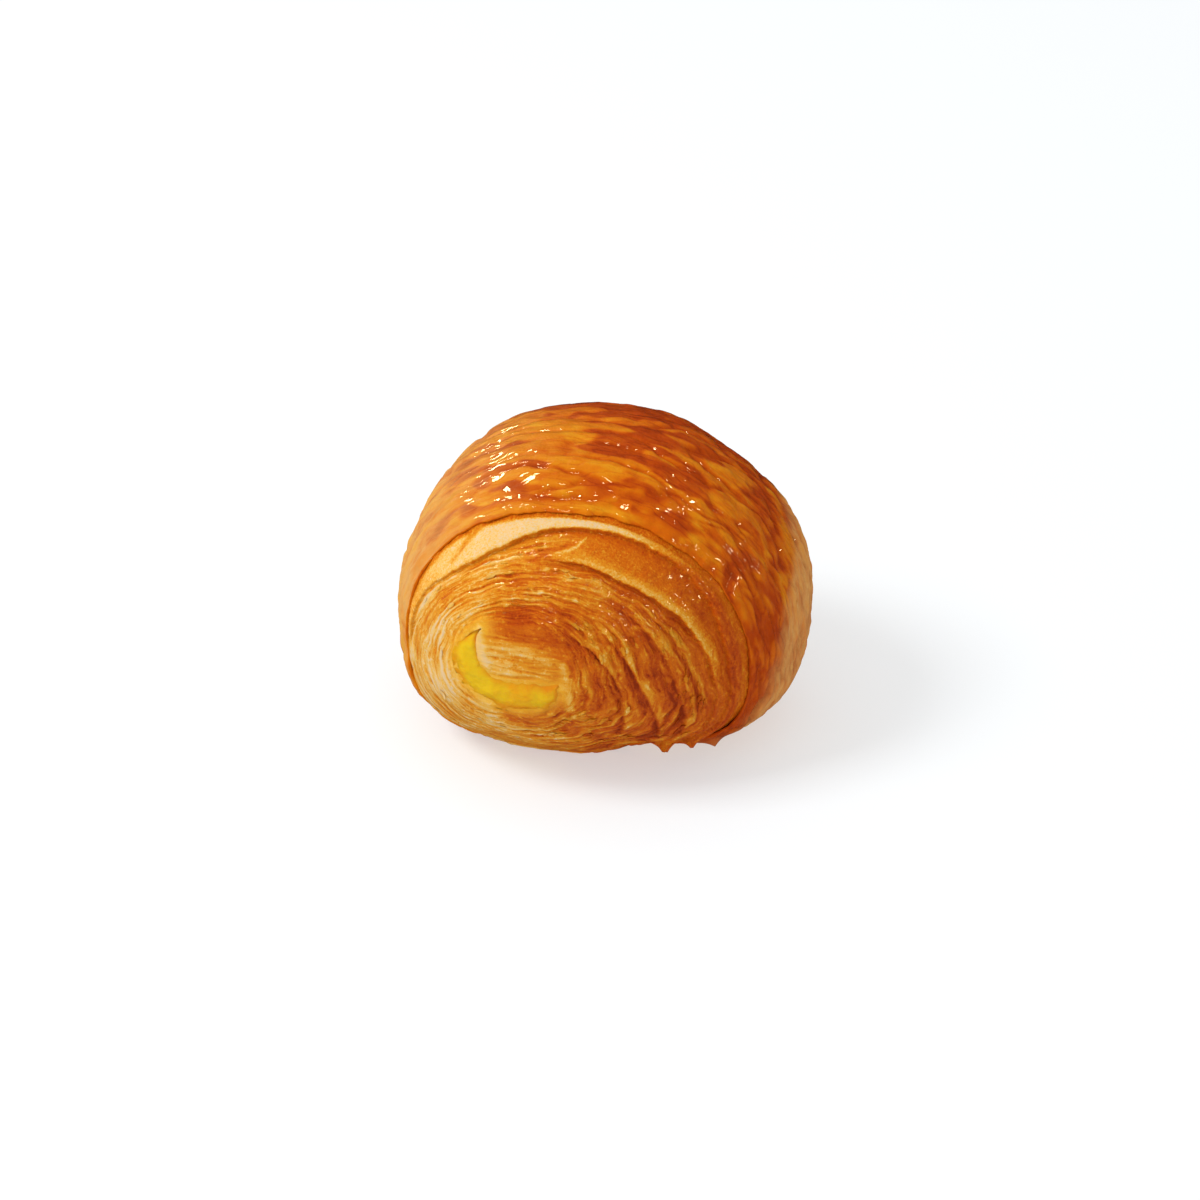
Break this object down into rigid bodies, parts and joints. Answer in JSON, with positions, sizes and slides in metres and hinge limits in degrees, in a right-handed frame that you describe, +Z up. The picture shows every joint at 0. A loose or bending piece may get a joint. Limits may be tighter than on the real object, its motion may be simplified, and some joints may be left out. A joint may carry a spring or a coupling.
{
  "type": "custard filled pastry roll",
  "caption": "Short baked roll of laminated dough lying on its seam, with stepped spiral leaf edges at its ends and a hook of custard running through the core.",
  "frame": {"origin": "on the resting plane, under the middle of the roll's bounding box", "axes": "+X across the roll, +Y along the roll's axis away from the end that shows its custard best, +Z up"},
  "size_m": [0.06, 0.0552, 0.0474],
  "materials": {
    "baked_dough": "egg-washed golden brown crust, mottled, with paler bare leaf edges at the ends",
    "custard": "moist set custard, yellow, smooth with a soft shine"
  },
  "bodies": {
    "root": {"pastry": "baked_dough", "custard": "custard"}
  },
  "joints": []
}
